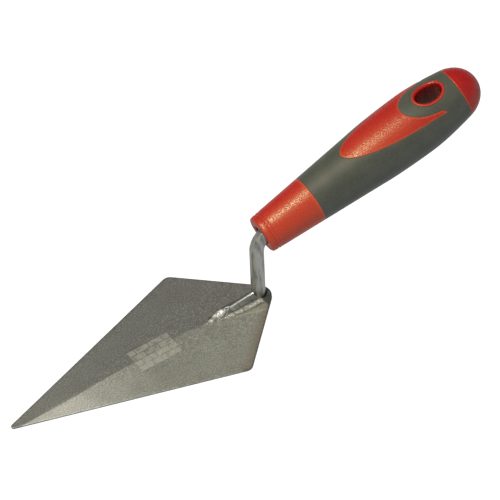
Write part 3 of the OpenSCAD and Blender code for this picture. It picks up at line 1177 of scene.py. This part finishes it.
def add_dome(core):
    rows = [skin_ring(CAP_START, -GRIP_WALL)]
    length = HANDLE_LENGTH - CAP_START
    start = np.array([CAP_START, CAP_RADIUS])
    first = start + 0.5 * length * np.array([1, STATION_SLOPES[-1]])
    second = np.array([HANDLE_LENGTH, 0.56 * CAP_RADIUS])
    last = np.array([HANDLE_LENGTH, 0.0])
    for share in np.concatenate([[0.0, 0.006, 0.015, 0.03], np.linspace(0.05, 0.985, 30)]):
        rest = 1 - share
        spot = (
            rest ** 3 * start + 3 * rest ** 2 * share * first
            + 3 * rest * share ** 2 * second + share ** 3 * last
        )
        drop = float(lip_drop(spot[0] - CAP_START))
        rows.append(ring_of(spot[0], spot[1] - drop))
    core.add_rows(rows)
    core.add_fan(rows[-1], FRONT_CENTRE + HANDLE_AXIS * HANDLE_LENGTH)


# ------------------------ floor, light and camera

FLOOR_REACH = 12.0
FLOOR_GAP = 0.2 * MM
FLOOR_SPACING = 1 * MM


def floor_plane(name, level, brightness, use):
    """A plain white plane that glows evenly and takes part in one kind of ray only."""
    far = FLOOR_REACH
    mesh = bpy.data.meshes.new(name)
    mesh.from_pydata(
        [(-far, -far, level), (far, -far, level), (far, far, level), (-far, far, level)],
        [], [(0, 1, 2, 3)],
    )
    plane = placed(name, mesh)
    paper = Material(name + "_paper", 0.0, 0.9)
    paper.colour((0.1, 0.1, 0.1))
    paper.shader.inputs["Emission Color"].default_value = (1, 1, 1, 1)
    paper.shader.inputs["Emission Strength"].default_value = brightness
    mesh.materials.append(paper.material)
    plane.visible_camera = use == "seen"
    plane.visible_glossy = use == "mirrored"
    plane.visible_diffuse = use == "lighting"


def build_floor():
    """The white floor that is seen, and dimmer ones below it for its mirror image and its light."""
    level = CAD_BOX[0][2] - FLOOR_GAP
    floor_plane("floor", level, 1.0, "seen")
    floor_plane("floor_mirrored", level - FLOOR_SPACING, 0.5, "mirrored")
    floor_plane("floor_light", level - 2 * FLOOR_SPACING, 0.8, "lighting")


DIM_SIDE = (0.6, 0.75, -0.28)
WORLD_DIM = 0.11
WORLD_BRIGHT = 0.46
KEY_DIRECTION = (-0.34, -0.05, 0.94)
KEY_DISTANCE = 1.6
KEY_SIZE = 0.50
KEY_POWER = 29
KEY_COLOUR = (1.0, 0.91, 0.68)
LIT_POINT = Vector((0, 0, 30 * MM))


def build_world():
    """Soft light from all round, dimmer from behind the handle."""
    world = bpy.data.worlds.new("studio")
    bpy.context.scene.world = world
    world.use_nodes = True
    tree = world.node_tree
    background = tree.nodes["Background"]
    background.inputs["Color"].default_value = (1, 1, 1, 1)
    place = tree.nodes.new("ShaderNodeTexCoord")
    facing = tree.nodes.new("ShaderNodeVectorMath")
    facing.operation = "DOT_PRODUCT"
    facing.inputs[1].default_value = DIM_SIDE
    fade = tree.nodes.new("ShaderNodeMapRange")
    fade.inputs["From Min"].default_value = -1.0
    fade.inputs["From Max"].default_value = 1.0
    fade.inputs["To Min"].default_value = WORLD_BRIGHT
    fade.inputs["To Max"].default_value = WORLD_DIM
    tree.links.new(place.outputs["Generated"], facing.inputs[0])
    tree.links.new(facing.outputs["Value"], fade.inputs["Value"])
    tree.links.new(fade.outputs[0], background.inputs["Strength"])


def build_key_light():
    """One large soft lamp, almost straight above."""
    light = bpy.data.lights.new("key", "AREA")
    light.shape = "DISK"
    light.size = KEY_SIZE
    light.energy = KEY_POWER
    light.color = KEY_COLOUR
    lamp = placed("key", light)
    away = Vector(KEY_DIRECTION).normalized()
    lamp.location = LIT_POINT + away * KEY_DISTANCE
    lamp.rotation_mode = "QUATERNION"
    lamp.rotation_quaternion = (-away).to_track_quat("-Z", "Y")


VIEW_AZIMUTH = math.radians(-28.47)
VIEW_ELEVATION = math.radians(46.28)
VIEW_ROLL = math.radians(6.455)
VIEW_DISTANCE = 3.325
VIEW_TARGET = Vector((-2.5 * MM, 0, 34.1 * MM))
VIEW_SHIFT = (-0.001, 0.001)
LENS = 496.8
SENSOR = 36


def build_camera():
    camera_data = bpy.data.cameras.new("camera")
    camera_data.lens = LENS
    camera_data.sensor_width = SENSOR
    camera_data.clip_start = 0.1
    camera_data.clip_end = 60
    camera_data.shift_x, camera_data.shift_y = VIEW_SHIFT
    camera = placed("camera", camera_data)
    back = Vector((
        math.sin(VIEW_AZIMUTH) * math.cos(VIEW_ELEVATION),
        -math.cos(VIEW_AZIMUTH) * math.cos(VIEW_ELEVATION),
        math.sin(VIEW_ELEVATION),
    ))
    level = Vector((0, 0, 1)).cross(back).normalized()
    right = Matrix.Rotation(-VIEW_ROLL, 3, back) @ level
    up = back.cross(right)
    turn = Matrix((right, up, back)).transposed().to_4x4()
    camera.matrix_world = Matrix.Translation(VIEW_TARGET + back * VIEW_DISTANCE) @ turn
    bpy.context.scene.camera = camera


build_camera()
build_world()
build_floor()
build_key_light()
bpy.context.scene.view_settings.view_transform = "Standard"

build_blade()
build_tang()
build_welds()
build_handle()
